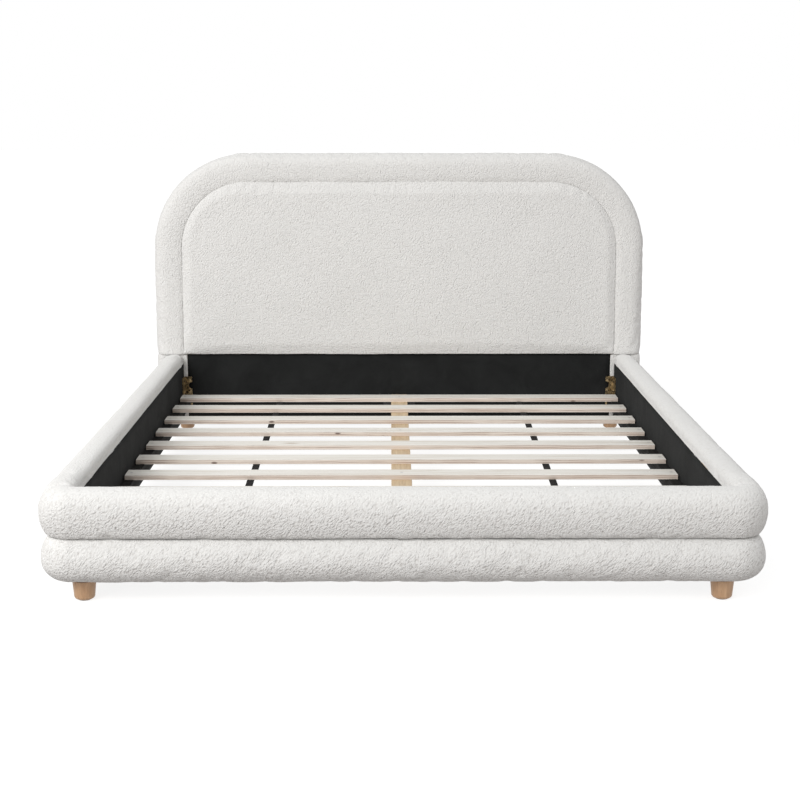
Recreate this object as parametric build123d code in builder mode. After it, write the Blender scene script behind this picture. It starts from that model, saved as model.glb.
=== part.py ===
"""Upholstered platform bed for a queen mattress, with an arched padded headboard.

Millimetres. +Z is up, +Y points from the foot end to the headboard, and X runs across the bed.
The origin is on the floor, under the middle of the bed.
"""

import os

from build123d import *

os.makedirs("parts", exist_ok=True)

# ---- driving dimensions ----
MATTRESS_WIDTH = 1524
MATTRESS_LENGTH = 2032
SIDE_ROOM = 13  # beside the mattress, each side
END_ROOM = 28  # between the linings, beyond the mattress's length

FIT = 0.3  # room left round a piece that sits in a pocket
FABRIC = 1  # thickness of a lining

# Padded rails and footboard: two rolls stacked round a board
RAIL_WIDTH = 86
RAIL_BOTTOM = 48
ROLL_SEAM = 160
RAIL_TOP = 279
LINING_TOP = 246
BOARD_THICKNESS = 18
CREASE_RADIUS = 24  # roundness of both rolls at the seam between them
ROLL_RADIUS = 42  # roundness of the rolls' outer top and bottom
BAND_RADIUS = 18  # roundness of the upper roll's inner top edge

# Headboard
HEADBOARD_WIDTH = 1740
HEADBOARD_TOP = 991
HEADBOARD_RADIUS = 332
HEADBOARD_BOTTOM = 41
HEADBOARD_BACK = 70  # from the lining to the back face
BORDER_WIDTH = 101
BORDER_FRONT = 16  # how far the border roll stands in front of the lining
BORDER_RADIUS = 38  # roundness of the border roll's outer front
EDGE_RADIUS = 1
CUSHION_FRONT = 24
COVER_FRONT = 5
SIDE_LINING_HALF = 761
PANEL_INSET = 28  # padding beyond the panel's edge
PANEL_THICKNESS = 15
POST_WIDTH = 70
POST_DEPTH = 48
POST_TOP = 780
CROSSBAR_HEIGHT = 70
CROSSBAR_DEPTH = 40

# Slats, ledges and centre beam
SLAT_COUNT = 10
SLAT_LENGTH = 1540
SLAT_WIDTH = 73
SLAT_THICKNESS = 13.5
SLAT_TOP = 145
SLAT_PITCH = 204
FIRST_SLAT = 121.9  # from the headboard's lining to the middle of the first slat
BEAM_SLATS = (1, 4, 7, 10)  # slats that are screwed to the centre beam
LEDGE_SIZE = 30
LEDGE_END = 62  # room for the corner brackets at both ends of a ledge
STRAP_X = 420
STRAP_WIDTH = 20
STRAP_THICKNESS = 1.5
BEAM_WIDTH = 57
BEAM_HEIGHT = 40
HANGER_PLATE = 2.5
HANGER_REACH = 45

# Feet and legs
FOOT_TOP_RADIUS = 28.5
FOOT_BOTTOM_RADIUS = 24
FOOT_ROUND = 8  # roundness of a foot's bottom edge
LEG_TOP_RADIUS = 23
LEG_BOTTOM_RADIUS = 19
LEG_ROUND = 4
PAD_THICKNESS = 2
PAD_RADIUS = 15
FRONT_FOOT_X = 759
REAR_FOOT_X = 771
BLOCK_RISE = 12  # from the bottom of the board up to the corner blocks
BLOCK_HEIGHT = 28
BLOCK_PADDING = 36  # between a corner block and the roll's outer face

# Fasteners and corner brackets
BOLT_RADIUS = 4
BOLT_HEAD_RADIUS = 7
BOLT_HEAD_HEIGHT = 4.5
BOLT_LENGTH = 34
BOLT_HEIGHTS = (148, 184)
BRACKET_PLATE = 3
BRACKET_TOP = 198
BRACKET_BOTTOM = 78
BRACKET_FACE = 30  # width of the leaf on the headboard or footboard
BRACKET_LEAF = 50  # length of the leaf on the rail
BRACKET_BOLT_IN = 20  # from a bracket's corner to its bolts
HOOK_RADIUS = 12
HOOK_HEIGHT = 166  # middle of the hook notch, between the two bolts
SCREW_RADIUS = 2
SCREW_HEAD_RADIUS = 4.4
SCREW_HEAD_HEIGHT = 2.6
SCREW_LENGTH = 25
HANGER_BOLT_DEPTH = 22

# ---- derived places ----
INNER_X = MATTRESS_WIDTH / 2 + SIDE_ROOM
INNER_LENGTH = MATTRESS_LENGTH + END_ROOM
OVERALL_LENGTH = RAIL_WIDTH + INNER_LENGTH + HEADBOARD_BACK
FOOT_Y = -OVERALL_LENGTH / 2 + RAIL_WIDTH  # inner face of the footboard
HEAD_Y = FOOT_Y + INNER_LENGTH  # face of the headboard's lining
BACK_Y = HEAD_Y + HEADBOARD_BACK
RAIL_HEAD_Y = HEAD_Y - COVER_FRONT
RAIL_LENGTH = RAIL_HEAD_Y - FOOT_Y
POCKET_DEPTH = FABRIC + BOARD_THICKNESS + FIT
SLAT_BOTTOM = SLAT_TOP - SLAT_THICKNESS
PANEL_Y = HEAD_Y + FABRIC
POST_Y = PANEL_Y + PANEL_THICKNESS
FRONT_FOOT_Y = FOOT_Y - FABRIC - BOARD_THICKNESS / 2
REAR_FOOT_Y = POST_Y + POST_DEPTH / 2
END_SCREW_X = INNER_X - LEDGE_SIZE * 0.6
LEG_YS = [FOOT_Y + INNER_LENGTH * share for share in (0.25, 0.5, 0.75)]
SLAT_YS = [HEAD_Y - FIRST_SLAT - SLAT_PITCH * i for i in range(SLAT_COUNT)]
BOLT_HOLE = BOLT_RADIUS + FIT
SCREW_HOLE = SCREW_RADIUS + FIT
SCREW_HOLE_DEPTH = SCREW_LENGTH - SLAT_THICKNESS + 1
LEAF_Z = (BRACKET_BOTTOM + BRACKET_TOP) / 2


def upright(y):
    """A plane that faces the foot end, with x across the bed and y up."""
    return Plane(origin=(0, y, 0), x_dir=(1, 0, 0), z_dir=(0, -1, 0))


def sideways(x):
    """A plane that faces +X, with x towards the headboard and y up."""
    return Plane(origin=(x, 0, 0), x_dir=(0, 1, 0), z_dir=(1, 0, 0))


def block(low, high, mode=Mode.ADD):
    """Add a box between two corners to the part being built, or cut it away."""
    size = [b - a for a, b in zip(low, high)]
    middle = [(a + b) / 2 for a, b in zip(low, high)]
    with Locations(tuple(middle)):
        Box(*size, mode=mode)


def bore(plane, points, radius, depth):
    """Drill round holes into the part being built, from a plane and against its normal."""
    with BuildSketch(plane) as holes:
        with Locations(*points):
            Circle(radius)
    extrude(holes.sketch, amount=-depth, mode=Mode.SUBTRACT)


def save(name, builder):
    """Label one finished piece and write it."""
    builder.part.label = name
    export_step(builder.part, f"parts/{name}.step")


def save_pair(stem, right):
    """Write a right-hand piece and its mirror image."""
    save(f"{stem}_right", right)
    with BuildPart() as left:
        mirror(right.part, about=Plane.YZ)
    save(f"{stem}_left", left)


# ---- padded rolls of the rails and the footboard ----
def roll_section(plane, is_upper):
    """One roll's outline, in a plane whose x runs outwards from the inner face and y runs up."""
    bottom = ROLL_SEAM + FIT / 2 if is_upper else RAIL_BOTTOM
    top = RAIL_TOP if is_upper else ROLL_SEAM - FIT / 2
    with BuildSketch(plane) as section:
        with Locations((RAIL_WIDTH / 2, (bottom + top) / 2)):
            Rectangle(RAIL_WIDTH, top - bottom)
        outer = section.vertices().group_by(Axis.X)[-1].sort_by(Axis.Y)
        seam_corner = outer[0] if is_upper else outer[-1]
        round_corner = outer[-1] if is_upper else outer[0]
        fillet(seam_corner, CREASE_RADIUS)
        fillet(round_corner, ROLL_RADIUS)
        if is_upper:
            fillet(section.vertices().sort_by(Axis.X).sort_by(Axis.Y)[-2:].sort_by(Axis.X)[0], BAND_RADIUS)
    return section.sketch


def rail_roll(is_upper):
    """A roll along the right side rail, with the pocket that its board sits in."""
    plane = Plane(origin=(INNER_X, RAIL_HEAD_Y, 0), x_dir=(1, 0, 0), z_dir=(0, -1, 0))
    with BuildPart() as roll:
        extrude(roll_section(plane, is_upper), amount=RAIL_LENGTH)
        block(
            (INNER_X - 1, FOOT_Y - 1, 0),
            (INNER_X + POCKET_DEPTH, HEAD_Y, LINING_TOP + FIT),
            mode=Mode.SUBTRACT,
        )
    return roll


def footboard_roll(is_upper):
    """A roll along the footboard that turns round both corners to meet the side rails."""
    right_plane = Plane(origin=(INNER_X, FOOT_Y, 0), x_dir=(0, -1, 0), z_dir=(-1, 0, 0))
    left_plane = Plane(origin=(-INNER_X, FOOT_Y, 0), x_dir=(0, -1, 0), z_dir=(-1, 0, 0))
    board_half = INNER_X + POCKET_DEPTH
    with BuildPart() as roll:
        extrude(roll_section(right_plane, is_upper), amount=2 * INNER_X)
        revolve(roll_section(right_plane, is_upper), Axis((INNER_X, FOOT_Y, 0), (0, 0, 1)), 90)
        revolve(roll_section(left_plane, is_upper), Axis((-INNER_X, FOOT_Y, 0), (0, 0, -1)), 90)
        block(
            (-board_half, FOOT_Y - POCKET_DEPTH, 0),
            (board_half, FOOT_Y + 1, LINING_TOP + FIT),
            mode=Mode.SUBTRACT,
        )
        if not is_upper:
            for side in (-1, 1):
                low, high = foot_block_corners(side * FRONT_FOOT_X)
                low = (low[0] - FIT, low[1] - FIT, low[2] - FIT)
                high = (high[0] + FIT, high[1] + FIT, high[2] + FIT)
                block(low, high, mode=Mode.SUBTRACT)
    return roll


def foot_block_corners(x):
    """Corners of the timber block that stiffens the footboard's board beside a front foot."""
    bottom = RAIL_BOTTOM + BLOCK_RISE
    low = (x - POST_WIDTH / 2, FOOT_Y - RAIL_WIDTH + BLOCK_PADDING, bottom)
    high = (x + POST_WIDTH / 2, FOOT_Y - POCKET_DEPTH, bottom + BLOCK_HEIGHT)
    return low, high


# ---- side rails ----
def bracket_holes_in_rail(depth, radius):
    """Holes for the rail leaves of both corner brackets, from the rail's inner face outwards."""
    head_y = RAIL_HEAD_Y - BRACKET_PLATE - BRACKET_BOLT_IN
    foot_y = FOOT_Y + BRACKET_PLATE + BRACKET_BOLT_IN
    points = [(y, z) for y in (head_y, foot_y) for z in BOLT_HEIGHTS]
    bore(sideways(INNER_X + depth), points, radius, depth)


def make_rails():
    save_pair("rail_upper_roll", rail_roll(True))
    save_pair("rail_lower_roll", rail_roll(False))

    with BuildPart() as board:
        block(
            (INNER_X + FABRIC, FOOT_Y, RAIL_BOTTOM),
            (INNER_X + FABRIC + BOARD_THICKNESS, RAIL_HEAD_Y, LINING_TOP),
        )
        bracket_holes_in_rail(FABRIC + BOARD_THICKNESS, BOLT_HOLE)
    save_pair("rail_board", board)

    with BuildPart() as lining:
        block((INNER_X, FOOT_Y, RAIL_BOTTOM), (INNER_X + FABRIC, RAIL_HEAD_Y, LINING_TOP))
        bracket_holes_in_rail(FABRIC, BOLT_HOLE)
    save_pair("rail_lining", lining)

    with BuildPart() as ledge:
        block(
            (INNER_X - LEDGE_SIZE, FOOT_Y + LEDGE_END, SLAT_BOTTOM - LEDGE_SIZE),
            (INNER_X, HEAD_Y - LEDGE_END, SLAT_BOTTOM),
        )
        screw_points = [(END_SCREW_X, y) for y in SLAT_YS]
        bore(Plane.XY.offset(SLAT_BOTTOM), screw_points, SCREW_HOLE, SCREW_HOLE_DEPTH)
    save_pair("rail_ledge", ledge)


# ---- footboard ----
def face_bolt_points():
    """Where the corner brackets' bolts go into the headboard or the footboard, in an upright plane."""
    bolt_x = INNER_X - BRACKET_BOLT_IN
    return [(side * bolt_x, z) for side in (-1, 1) for z in BOLT_HEIGHTS]


def make_footboard():
    save("footboard_upper_roll", footboard_roll(True))
    save("footboard_lower_roll", footboard_roll(False))
    board_half = INNER_X + FABRIC + BOARD_THICKNESS

    with BuildPart() as board:
        block(
            (-board_half, FOOT_Y - FABRIC - BOARD_THICKNESS, RAIL_BOTTOM),
            (board_half, FOOT_Y - FABRIC, LINING_TOP),
        )
        bore(upright(FOOT_Y - POCKET_DEPTH), face_bolt_points(), BOLT_HOLE, POCKET_DEPTH)
        feet = [(side * FRONT_FOOT_X, FRONT_FOOT_Y) for side in (-1, 1)]
        bore(Plane.XY.offset(RAIL_BOTTOM + HANGER_BOLT_DEPTH), feet, BOLT_HOLE, HANGER_BOLT_DEPTH)
    save("footboard_board", board)

    with BuildPart() as lining:
        block((-INNER_X, FOOT_Y - FABRIC, RAIL_BOTTOM), (INNER_X, FOOT_Y, LINING_TOP))
        bore(upright(FOOT_Y - FABRIC), face_bolt_points(), BOLT_HOLE, FABRIC)
    save("footboard_lining", lining)


# ---- headboard ----
def arch(plane, half_width, bottom, top, radius):
    """A panel outline with a straight bottom and two round top corners."""
    with BuildSketch(plane) as outline:
        with Locations((0, (bottom + top) / 2)):
            Rectangle(2 * half_width, top - bottom)
        fillet(outline.vertices().group_by(Axis.Y)[-1], radius)
    return outline.sketch


def inset_arch(plane, inset, bottom):
    """The headboard's own arch, made smaller all round by inset."""
    return arch(
        plane,
        HEADBOARD_WIDTH / 2 - inset,
        bottom,
        HEADBOARD_TOP - inset,
        HEADBOARD_RADIUS - inset,
    )


def make_border_roll():
    """The inverted-U roll: an L-shaped section that hooks round the panel's edge, swept along the arch."""
    half_width = HEADBOARD_WIDTH / 2
    with BuildPart() as border:
        with BuildLine(upright(HEAD_Y)) as path:
            right = Line((half_width, RAIL_TOP), (half_width, HEADBOARD_TOP - HEADBOARD_RADIUS))
            right_turn = RadiusArc(
                right @ 1, (half_width - HEADBOARD_RADIUS, HEADBOARD_TOP), -HEADBOARD_RADIUS
            )
            across = Line(right_turn @ 1, (HEADBOARD_RADIUS - half_width, HEADBOARD_TOP))
            left_turn = RadiusArc(
                across @ 1, (-half_width, HEADBOARD_TOP - HEADBOARD_RADIUS), -HEADBOARD_RADIUS
            )
            Line(left_turn @ 1, (-half_width, RAIL_TOP))
        with BuildSketch(Plane.XY.offset(RAIL_TOP)) as section:
            with BuildLine():
                FilletPolyline(
                    (half_width - BORDER_WIDTH, PANEL_Y - FIT),
                    (half_width - BORDER_WIDTH, HEAD_Y - BORDER_FRONT),
                    (half_width, HEAD_Y - BORDER_FRONT),
                    (half_width, BACK_Y),
                    (half_width - PANEL_INSET + FIT, BACK_Y),
                    (half_width - PANEL_INSET + FIT, PANEL_Y - FIT),
                    radius=[BORDER_FRONT * 0.9, BORDER_RADIUS, BAND_RADIUS, EDGE_RADIUS],
                )
                Line(
                    (half_width - PANEL_INSET + FIT, PANEL_Y - FIT),
                    (half_width - BORDER_WIDTH, PANEL_Y - FIT),
                )
            make_face()
        sweep(section.sketch, path=path.wire())
    save("headboard_border_roll", border)


def make_headboard():
    make_border_roll()

    with BuildPart() as cushion:
        extrude(
            inset_arch(upright(PANEL_Y - FIT), BORDER_WIDTH + FIT, RAIL_TOP),
            amount=CUSHION_FRONT + FABRIC - FIT,
        )
        fillet(cushion.faces().sort_by(Axis.Y)[0].edges(), BAND_RADIUS)
    save("headboard_cushion", cushion)

    with BuildPart() as panel:
        extrude(inset_arch(upright(PANEL_Y), PANEL_INSET, HEADBOARD_BOTTOM), amount=-PANEL_THICKNESS)
        bore(upright(PANEL_Y), face_bolt_points(), BOLT_HOLE, PANEL_THICKNESS)
    save("headboard_panel", panel)

    with BuildPart() as post:
        block(
            (REAR_FOOT_X - POST_WIDTH / 2, POST_Y, HEADBOARD_BOTTOM),
            (REAR_FOOT_X + POST_WIDTH / 2, POST_Y + POST_DEPTH, POST_TOP),
        )
        bolt_points = [point for point in face_bolt_points() if point[0] > 0]
        bore(upright(POST_Y), bolt_points, BOLT_HOLE, BOLT_LENGTH)
        bore(
            Plane.XY.offset(HEADBOARD_BOTTOM + HANGER_BOLT_DEPTH),
            [(REAR_FOOT_X, REAR_FOOT_Y)],
            BOLT_HOLE,
            HANGER_BOLT_DEPTH,
        )
    save_pair("headboard_post", post)

    bar_half = REAR_FOOT_X - POST_WIDTH / 2
    for name, top in (("top", POST_TOP), ("bottom", RAIL_TOP)):
        with BuildPart() as crossbar:
            block(
                (-bar_half, POST_Y, top - CROSSBAR_HEIGHT),
                (bar_half, POST_Y + CROSSBAR_DEPTH, top),
            )
        save(f"headboard_crossbar_{name}", crossbar)

    half_width = HEADBOARD_WIDTH / 2
    with BuildPart() as side_cover:
        with BuildSketch(Plane.XY.offset(HEADBOARD_BOTTOM)):
            with BuildLine():
                FilletPolyline(
                    (SIDE_LINING_HALF, PANEL_Y - FIT),
                    (SIDE_LINING_HALF, HEAD_Y - COVER_FRONT),
                    (half_width, HEAD_Y - COVER_FRONT),
                    (half_width, BACK_Y),
                    (half_width - PANEL_INSET + FIT, BACK_Y),
                    (half_width - PANEL_INSET + FIT, PANEL_Y - FIT),
                    radius=[COVER_FRONT / 2, BAND_RADIUS, BAND_RADIUS, EDGE_RADIUS],
                )
                Line(
                    (half_width - PANEL_INSET + FIT, PANEL_Y - FIT),
                    (SIDE_LINING_HALF, PANEL_Y - FIT),
                )
            make_face()
        extrude(amount=RAIL_TOP - HEADBOARD_BOTTOM - FIT)
    save_pair("headboard_side_cover", side_cover)

    lining_half = SIDE_LINING_HALF - FIT
    with BuildPart() as lining:
        block((-lining_half, HEAD_Y, HEADBOARD_BOTTOM), (lining_half, PANEL_Y, RAIL_TOP - FIT))
        bore(upright(PANEL_Y), face_bolt_points(), BOLT_HOLE, -FABRIC)
    save("headboard_lining", lining)

    with BuildPart() as back_lining:
        lining_y = POST_Y + POST_DEPTH
        extrude(
            inset_arch(upright(lining_y), PANEL_INSET, HEADBOARD_BOTTOM), amount=-FABRIC
        )
    save("headboard_back_lining", back_lining)


# ---- slats and straps ----
def make_slats():
    for number, slat_y in enumerate(SLAT_YS, start=1):
        screw_xs = [-END_SCREW_X, END_SCREW_X]
        if number in BEAM_SLATS:
            screw_xs.append(0)
        with BuildPart() as slat:
            block(
                (-SLAT_LENGTH / 2, slat_y - SLAT_WIDTH / 2, SLAT_BOTTOM),
                (SLAT_LENGTH / 2, slat_y + SLAT_WIDTH / 2, SLAT_TOP),
            )
            chamfer(slat.edges().filter_by(Axis.X), 1)
            with Locations(*[(x, slat_y, SLAT_TOP) for x in screw_xs]):
                CounterSinkHole(SCREW_HOLE, SCREW_HEAD_RADIUS + FIT, SLAT_THICKNESS)
        save(f"slat_{number:02d}", slat)


def make_straps():
    half = SLAT_COUNT // 2
    for bundle, slats in (("head", SLAT_YS[:half]), ("foot", SLAT_YS[half:])):
        with BuildPart() as strap:
            block(
                (STRAP_X - STRAP_WIDTH / 2, slats[-1] - SLAT_WIDTH / 3, SLAT_BOTTOM - STRAP_THICKNESS),
                (STRAP_X + STRAP_WIDTH / 2, slats[0] + SLAT_WIDTH / 3, SLAT_BOTTOM),
            )
        save_pair(f"slat_strap_{bundle}", strap)


def make_slat_screws():
    places = [(side * END_SCREW_X, y) for y in SLAT_YS for side in (-1, 1)]
    places += [(0, SLAT_YS[number - 1]) for number in BEAM_SLATS]
    with BuildPart() as screws:
        with BuildSketch(Plane.XZ) as profile:
            with BuildLine():
                Polyline(
                    (0, SLAT_TOP - FIT),
                    (SCREW_HEAD_RADIUS, SLAT_TOP - FIT),
                    (SCREW_RADIUS, SLAT_TOP - FIT - SCREW_HEAD_HEIGHT),
                    (SCREW_RADIUS, SLAT_TOP - SCREW_LENGTH + 3),
                    (0, SLAT_TOP - SCREW_LENGTH),
                    close=True,
                )
            make_face()
        with Locations(*places):
            add(revolve(profile.sketch, Axis.Z, mode=Mode.PRIVATE))
    save("slat_screws", screws)


# ---- centre beam with its hangers and legs ----
def make_beam():
    beam_end = HANGER_PLATE + FIT
    with BuildPart() as beam:
        block(
            (-BEAM_WIDTH / 2, FOOT_Y + beam_end, SLAT_BOTTOM - BEAM_HEIGHT),
            (BEAM_WIDTH / 2, HEAD_Y - beam_end, SLAT_BOTTOM),
        )
        chamfer(beam.edges().filter_by(Axis.Y), 1.5)
        screw_points = [(0, SLAT_YS[number - 1]) for number in BEAM_SLATS]
        bore(Plane.XY.offset(SLAT_BOTTOM), screw_points, SCREW_HOLE, SCREW_HOLE_DEPTH)
        leg_points = [(0, y) for y in LEG_YS]
        bore(
            Plane.XY.offset(SLAT_BOTTOM - BEAM_HEIGHT + HANGER_BOLT_DEPTH),
            leg_points,
            BOLT_HOLE,
            HANGER_BOLT_DEPTH,
        )
    save("centre_beam", beam)

    cradle_half = BEAM_WIDTH / 2 + FIT
    shelf_bottom = SLAT_BOTTOM - BEAM_HEIGHT - HANGER_PLATE
    hanger_top = SLAT_BOTTOM - STRAP_THICKNESS
    with BuildPart() as hanger:
        block((-BEAM_WIDTH, HEAD_Y - HANGER_PLATE, shelf_bottom), (BEAM_WIDTH, HEAD_Y, hanger_top))
        block(
            (-cradle_half - HANGER_PLATE, HEAD_Y - HANGER_REACH, shelf_bottom),
            (cradle_half + HANGER_PLATE, HEAD_Y - HANGER_PLATE, hanger_top),
        )
        block(
            (-cradle_half, HEAD_Y - HANGER_REACH - 1, shelf_bottom + HANGER_PLATE),
            (cradle_half, HEAD_Y - HANGER_PLATE, hanger_top + 1),
            mode=Mode.SUBTRACT,
        )
    save("beam_hanger_head", hanger)
    with BuildPart() as far_hanger:
        mirror(hanger.part, about=upright((HEAD_Y + FOOT_Y) / 2))
    save("beam_hanger_foot", far_hanger)


def tapered(x, y, top, top_radius, bottom_radius, rounding):
    """A turned foot or leg between its felt pad and the piece that it carries."""
    height = top - PAD_THICKNESS
    with BuildPart(Plane((x, y, PAD_THICKNESS))) as turned:
        Cone(bottom_radius, top_radius, height, align=(Align.CENTER, Align.CENTER, Align.MIN))
        fillet(turned.edges().group_by(Axis.Z)[0], rounding)
        bore(Plane((x, y, top)), [(0, 0)], BOLT_HOLE, HANGER_BOLT_DEPTH)
    return turned


def make_feet_and_legs():
    for side, x_sign in (("left", -1), ("right", 1)):
        front_x = x_sign * FRONT_FOOT_X
        front = tapered(
            front_x, FRONT_FOOT_Y, RAIL_BOTTOM, FOOT_TOP_RADIUS, FOOT_BOTTOM_RADIUS, FOOT_ROUND
        )
        save(f"foot_front_{side}", front)
        rear_x = x_sign * REAR_FOOT_X
        rear = tapered(
            rear_x, REAR_FOOT_Y, HEADBOARD_BOTTOM, FOOT_TOP_RADIUS, FOOT_BOTTOM_RADIUS, FOOT_ROUND
        )
        save(f"foot_rear_{side}", rear)
    for number, leg_y in enumerate(LEG_YS, start=1):
        leg_top = SLAT_BOTTOM - BEAM_HEIGHT
        leg = tapered(0, leg_y, leg_top, LEG_TOP_RADIUS, LEG_BOTTOM_RADIUS, LEG_ROUND)
        save(f"centre_leg_{number}", leg)

    tops = [(side * FRONT_FOOT_X, FRONT_FOOT_Y, RAIL_BOTTOM) for side in (-1, 1)]
    tops += [(side * REAR_FOOT_X, REAR_FOOT_Y, HEADBOARD_BOTTOM) for side in (-1, 1)]
    tops += [(0, y, SLAT_BOTTOM - BEAM_HEIGHT) for y in LEG_YS]
    with BuildPart() as pads:
        with Locations(*[(x, y, 0) for x, y, _ in tops]):
            Cylinder(PAD_RADIUS, PAD_THICKNESS, align=(Align.CENTER, Align.CENTER, Align.MIN))
    save("glide_pads", pads)

    with BuildPart() as hanger_bolts:
        with Locations(*tops):
            Cylinder(BOLT_RADIUS, 2 * HANGER_BOLT_DEPTH - 2)
    save("hanger_bolts", hanger_bolts)

    with BuildPart() as blocks:
        for side in (-1, 1):
            block(*foot_block_corners(side * FRONT_FOOT_X))
    save("foot_blocks", blocks)


# ---- corner brackets and bolts ----
def corner_bracket(face_y, towards_middle):
    """A right-hand L bracket: one leaf on the end face, with a hook notch, and one leaf on the rail."""
    leaf_mid_x = INNER_X - BRACKET_FACE / 2
    height = BRACKET_TOP - BRACKET_BOTTOM
    near_y = face_y + towards_middle * BRACKET_PLATE
    far_y = near_y + towards_middle * BRACKET_LEAF
    bolt_y = near_y + towards_middle * BRACKET_BOLT_IN
    with BuildPart() as bracket:
        with BuildSketch(upright(max(face_y, near_y))) as face_leaf:
            with Locations((leaf_mid_x, LEAF_Z)):
                RectangleRounded(BRACKET_FACE, height, BRACKET_PLATE)
            with Locations((INNER_X - BRACKET_FACE, HOOK_HEIGHT)):
                Circle(HOOK_RADIUS, mode=Mode.SUBTRACT)
            with Locations(*[(INNER_X - BRACKET_BOLT_IN, z) for z in BOLT_HEIGHTS]):
                Circle(BOLT_HOLE, mode=Mode.SUBTRACT)
        extrude(amount=BRACKET_PLATE)
        with BuildSketch(sideways(INNER_X - BRACKET_PLATE)) as rail_leaf:
            with Locations(((face_y + far_y) / 2, LEAF_Z)):
                RectangleRounded(abs(far_y - face_y), height, BRACKET_PLATE)
            with Locations(*[(bolt_y, z) for z in BOLT_HEIGHTS]):
                Circle(BOLT_HOLE, mode=Mode.SUBTRACT)
        extrude(amount=BRACKET_PLATE)
    return bracket


def bolt_profile():
    """Half of a bolt's outline, with a chamfered head: x is the radius, and the head's seat is at z = 0."""
    with BuildSketch(Plane.XZ) as profile:
        with BuildLine():
            Polyline(
                (0, -BOLT_LENGTH),
                (BOLT_RADIUS, -BOLT_LENGTH),
                (BOLT_RADIUS, 0),
                (BOLT_HEAD_RADIUS, 0),
                (BOLT_HEAD_RADIUS, BOLT_HEAD_HEIGHT * 0.4),
                (BOLT_HEAD_RADIUS * 0.55, BOLT_HEAD_HEIGHT),
                (0, BOLT_HEAD_HEIGHT),
                close=True,
            )
        make_face()
    return profile.sketch


def make_brackets():
    save_pair("corner_bracket_head", corner_bracket(RAIL_HEAD_Y, -1))
    save_pair("corner_bracket_foot", corner_bracket(FOOT_Y, 1))

    bolt_x = INNER_X - BRACKET_BOLT_IN
    head_seat_y = RAIL_HEAD_Y - BRACKET_PLATE
    foot_seat_y = FOOT_Y + BRACKET_PLATE
    with BuildPart() as bolts:
        one = revolve(bolt_profile(), Axis.Z, mode=Mode.PRIVATE)
        for z in BOLT_HEIGHTS:
            for side in (-1, 1):
                seats = (
                    Plane(origin=(side * bolt_x, head_seat_y, z), z_dir=(0, -1, 0)),
                    Plane(origin=(side * bolt_x, foot_seat_y, z), z_dir=(0, 1, 0)),
                )
                for seat in seats:
                    add(seat * one)
                rail_x = side * (INNER_X - BRACKET_PLATE)
                for y in (head_seat_y - BRACKET_BOLT_IN, foot_seat_y + BRACKET_BOLT_IN):
                    add(Plane(origin=(rail_x, y, z), z_dir=(-side, 0, 0)) * one)
    save("bracket_bolts", bolts)


make_rails()
make_footboard()
make_headboard()
make_slats()
make_straps()
make_slat_screws()
make_beam()
make_feet_and_legs()
make_brackets()
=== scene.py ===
"""Looks of the upholstered headboard bed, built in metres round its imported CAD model."""

import math

import bpy
import numpy as np
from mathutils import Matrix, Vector, noise
from mathutils.geometry import tessellate_polygon


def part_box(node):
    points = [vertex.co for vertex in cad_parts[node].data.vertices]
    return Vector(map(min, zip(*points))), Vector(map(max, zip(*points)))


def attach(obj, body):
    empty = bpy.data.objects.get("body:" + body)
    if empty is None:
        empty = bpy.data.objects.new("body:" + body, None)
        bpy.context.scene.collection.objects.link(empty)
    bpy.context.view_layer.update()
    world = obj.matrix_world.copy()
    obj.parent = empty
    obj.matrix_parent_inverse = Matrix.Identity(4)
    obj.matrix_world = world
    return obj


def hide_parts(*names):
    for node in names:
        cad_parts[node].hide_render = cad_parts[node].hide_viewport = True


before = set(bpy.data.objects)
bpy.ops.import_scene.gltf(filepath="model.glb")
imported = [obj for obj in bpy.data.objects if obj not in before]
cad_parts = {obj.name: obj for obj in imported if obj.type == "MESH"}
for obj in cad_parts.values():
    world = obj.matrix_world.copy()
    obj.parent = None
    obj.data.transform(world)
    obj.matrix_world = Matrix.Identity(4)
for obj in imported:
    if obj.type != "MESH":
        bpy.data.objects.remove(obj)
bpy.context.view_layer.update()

# ---- places read from the CAD model ----
BODY = "root"
MM = 0.001
rail_low, rail_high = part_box("rail_upper_roll_right")
lower_low, lower_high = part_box("rail_lower_roll_right")
board_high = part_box("rail_board_right")[1]
lining_low, lining_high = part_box("rail_lining_right")
foot_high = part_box("footboard_upper_roll")[1]
border_low, border_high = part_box("headboard_border_roll")
cushion_low, cushion_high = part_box("headboard_cushion")
cover_low, cover_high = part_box("headboard_side_cover_right")
head_lining_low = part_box("headboard_lining")[0]
back_low, back_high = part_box("headboard_back_lining")
panel_low, panel_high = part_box("headboard_panel")

INNER_X = lining_low.x
FOOT_Y = foot_high.y
RAIL_HEAD_Y = rail_high.y
HEAD_Y = head_lining_low.y
RAIL_WIDTH = rail_high.x - INNER_X
ROLL_SEAM = (rail_low.z + lower_high.z) / 2
RAIL_TOP = rail_high.z
RAIL_BOTTOM = lower_low.z
LINING_TOP = lining_high.z
POCKET = board_high.x - INNER_X + 0.4 * MM  # how far out the pocket for the boards reaches
HALF_WIDTH = border_high.x
HEAD_TOP = border_high.z
BORDER_WIDTH = HALF_WIDTH - cushion_high.x
PANEL_INSET = HALF_WIDTH - panel_high.x
HEAD_RADIUS = 0.332  # of the arch's round corners, which no box shows

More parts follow.
